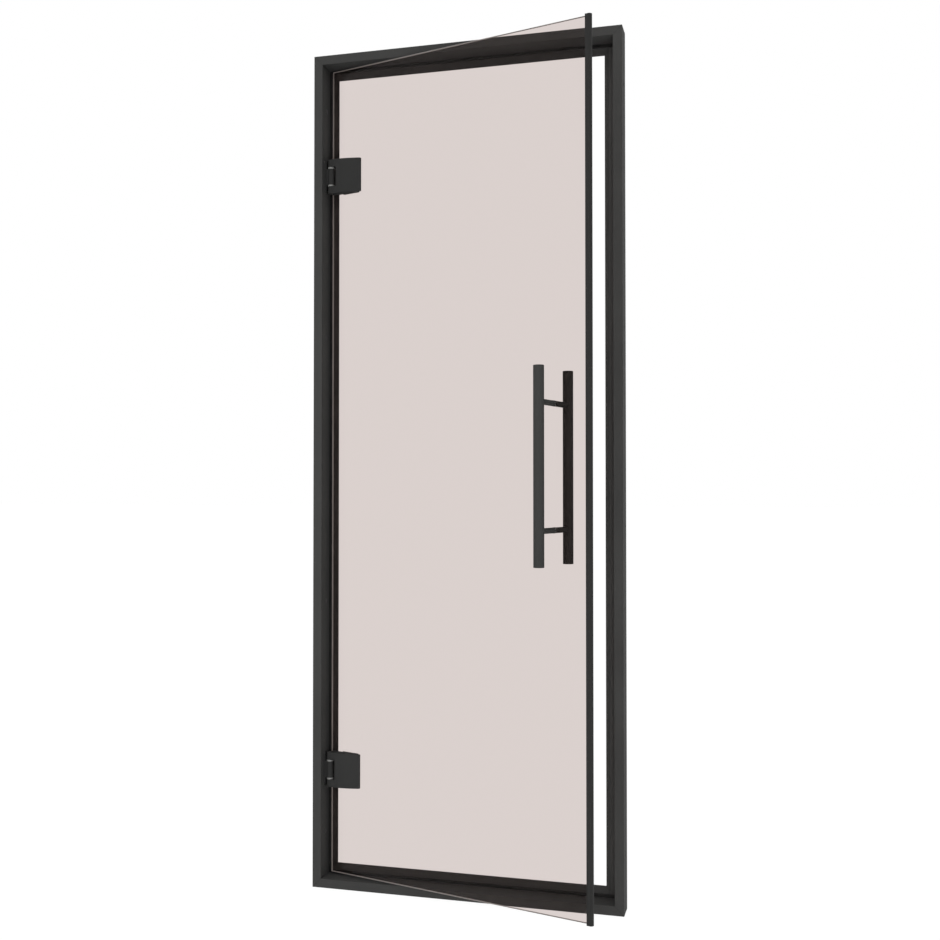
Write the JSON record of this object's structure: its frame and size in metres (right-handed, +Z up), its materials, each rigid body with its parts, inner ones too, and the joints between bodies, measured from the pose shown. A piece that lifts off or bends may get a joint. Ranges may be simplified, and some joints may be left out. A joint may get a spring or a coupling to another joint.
{
  "type": "steam room door",
  "caption": "Hinged all-glass steam room door in a slim black rebated frame, with clamp hinges, bar handles on both faces and a magnetic closing edge.",
  "frame": {"origin": "on the wall face of the hinge jamb, at the middle of the frame's depth and at floor level", "axes": "+X across the doorway from the hinge jamb to the closing jamb, +Y into the steam room, +Z up; the leaf opens towards -Y"},
  "size_m": [0.7, 0.2337, 1.88],
  "materials": {
    "frame_coat": "matt black powder coat on extruded aluminium",
    "key_metal": "cast aluminium",
    "seal_rubber": "black silicone bulb seal",
    "magnet": "dark magnetic strip in PVC",
    "hinge_coat": "satin black powder coat on cast hinge bodies",
    "steel": "stainless steel",
    "dark_steel": "blackened steel screws",
    "bearing": "light grey acetal bearing washers",
    "tinted_glass": "bronze tinted tempered glass, polished edges",
    "profile_coat": "black anodised closing profile",
    "pad_rubber": "soft clamp pads",
    "nylon": "clear nylon sleeves and washers",
    "handle_coat": "satin black coated stainless tube"
  },
  "bodies": {
    "frame": {"hinge_jamb": "frame_coat", "closing_jamb": "frame_coat", "head_rail": "frame_coat", "sill_rail": "frame_coat", "corner_keys": "key_metal", "hinge_side_seal": "seal_rubber", "head_seal": "seal_rubber", "sill_seal": "seal_rubber", "magnet_strip": "magnet", "upper_hinge_bracket": "hinge_coat", "lower_hinge_bracket": "hinge_coat", "upper_hinge_pin": "steel", "lower_hinge_pin": "steel", "upper_hinge_bearings": "bearing", "lower_hinge_bearings": "bearing", "bracket_screws": "dark_steel"},
    "leaf": {"glass_pane": "tinted_glass", "closing_profile": "profile_coat", "upper_hinge_front_plate": "hinge_coat", "lower_hinge_front_plate": "hinge_coat", "upper_hinge_back_plate": "hinge_coat", "lower_hinge_back_plate": "hinge_coat", "upper_hinge_pads": "pad_rubber", "lower_hinge_pads": "pad_rubber", "clamp_sleeves": "nylon", "clamp_screws": "steel", "outer_handle_bar": "handle_coat", "inner_handle_bar": "handle_coat", "outer_bar_caps": "handle_coat", "inner_bar_caps": "handle_coat", "outer_handle_posts": "handle_coat", "inner_handle_posts": "handle_coat", "handle_studs": "steel", "handle_washers": "nylon", "handle_sleeves": "nylon"}
  },
  "joints": [
    {"name": "door_swing", "type": "hinge", "parent": "frame", "child": "leaf", "pos_m": [0.033, -0.0035, 0], "axis": [0, 0, -1], "range_deg": [-15, 85]}
  ]
}
